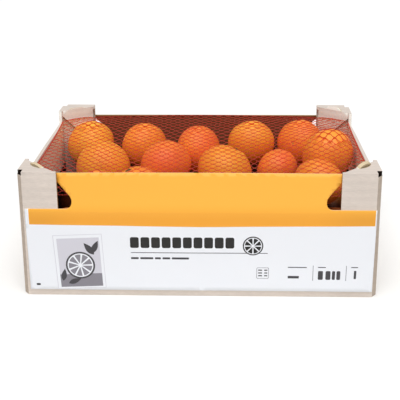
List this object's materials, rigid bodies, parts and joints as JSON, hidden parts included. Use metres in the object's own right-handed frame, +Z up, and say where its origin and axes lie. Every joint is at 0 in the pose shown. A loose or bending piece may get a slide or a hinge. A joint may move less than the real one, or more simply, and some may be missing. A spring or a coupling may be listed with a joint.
{
  "type": "box of mandarins",
  "caption": "Open corrugated cardboard tray with hollow corner posts and a printed front card, heaped with mandarins under a taut red net.",
  "frame": {"origin": "middle of the base, on the surface that the tray stands on", "axes": "+Z up, the printed front card faces -Y, +X to the right as seen from the front"},
  "size_m": [0.303, 0.225, 0.1153],
  "materials": {
    "board": "corrugated cardboard with a pale, matt liner outside and brown kraft inside",
    "card": "thin card with a semi-matt print in yellow and white",
    "net": "red plastic netting, satin",
    "peel": "orange peel, finely pitted, satin"
  },
  "bodies": {
    "root": {"tray": "board", "card": "card", "net": "net", "mandarin_01": "peel", "mandarin_02": "peel", "mandarin_03": "peel", "mandarin_04": "peel", "mandarin_05": "peel", "mandarin_06": "peel", "mandarin_07": "peel", "mandarin_08": "peel", "mandarin_09": "peel", "mandarin_10": "peel", "mandarin_11": "peel", "mandarin_12": "peel", "mandarin_13": "peel", "mandarin_14": "peel", "mandarin_15": "peel", "mandarin_16": "peel", "mandarin_17": "peel", "mandarin_18": "peel", "mandarin_19": "peel", "mandarin_20": "peel", "mandarin_21": "peel", "mandarin_22": "peel", "mandarin_23": "peel", "mandarin_24": "peel", "mandarin_25": "peel", "mandarin_26": "peel", "mandarin_27": "peel", "mandarin_28": "peel", "mandarin_29": "peel", "mandarin_30": "peel", "mandarin_31": "peel", "mandarin_32": "peel", "mandarin_33": "peel", "mandarin_34": "peel", "mandarin_35": "peel", "mandarin_36": "peel", "mandarin_37": "peel", "mandarin_38": "peel", "mandarin_39": "peel", "mandarin_40": "peel"}
  },
  "joints": []
}
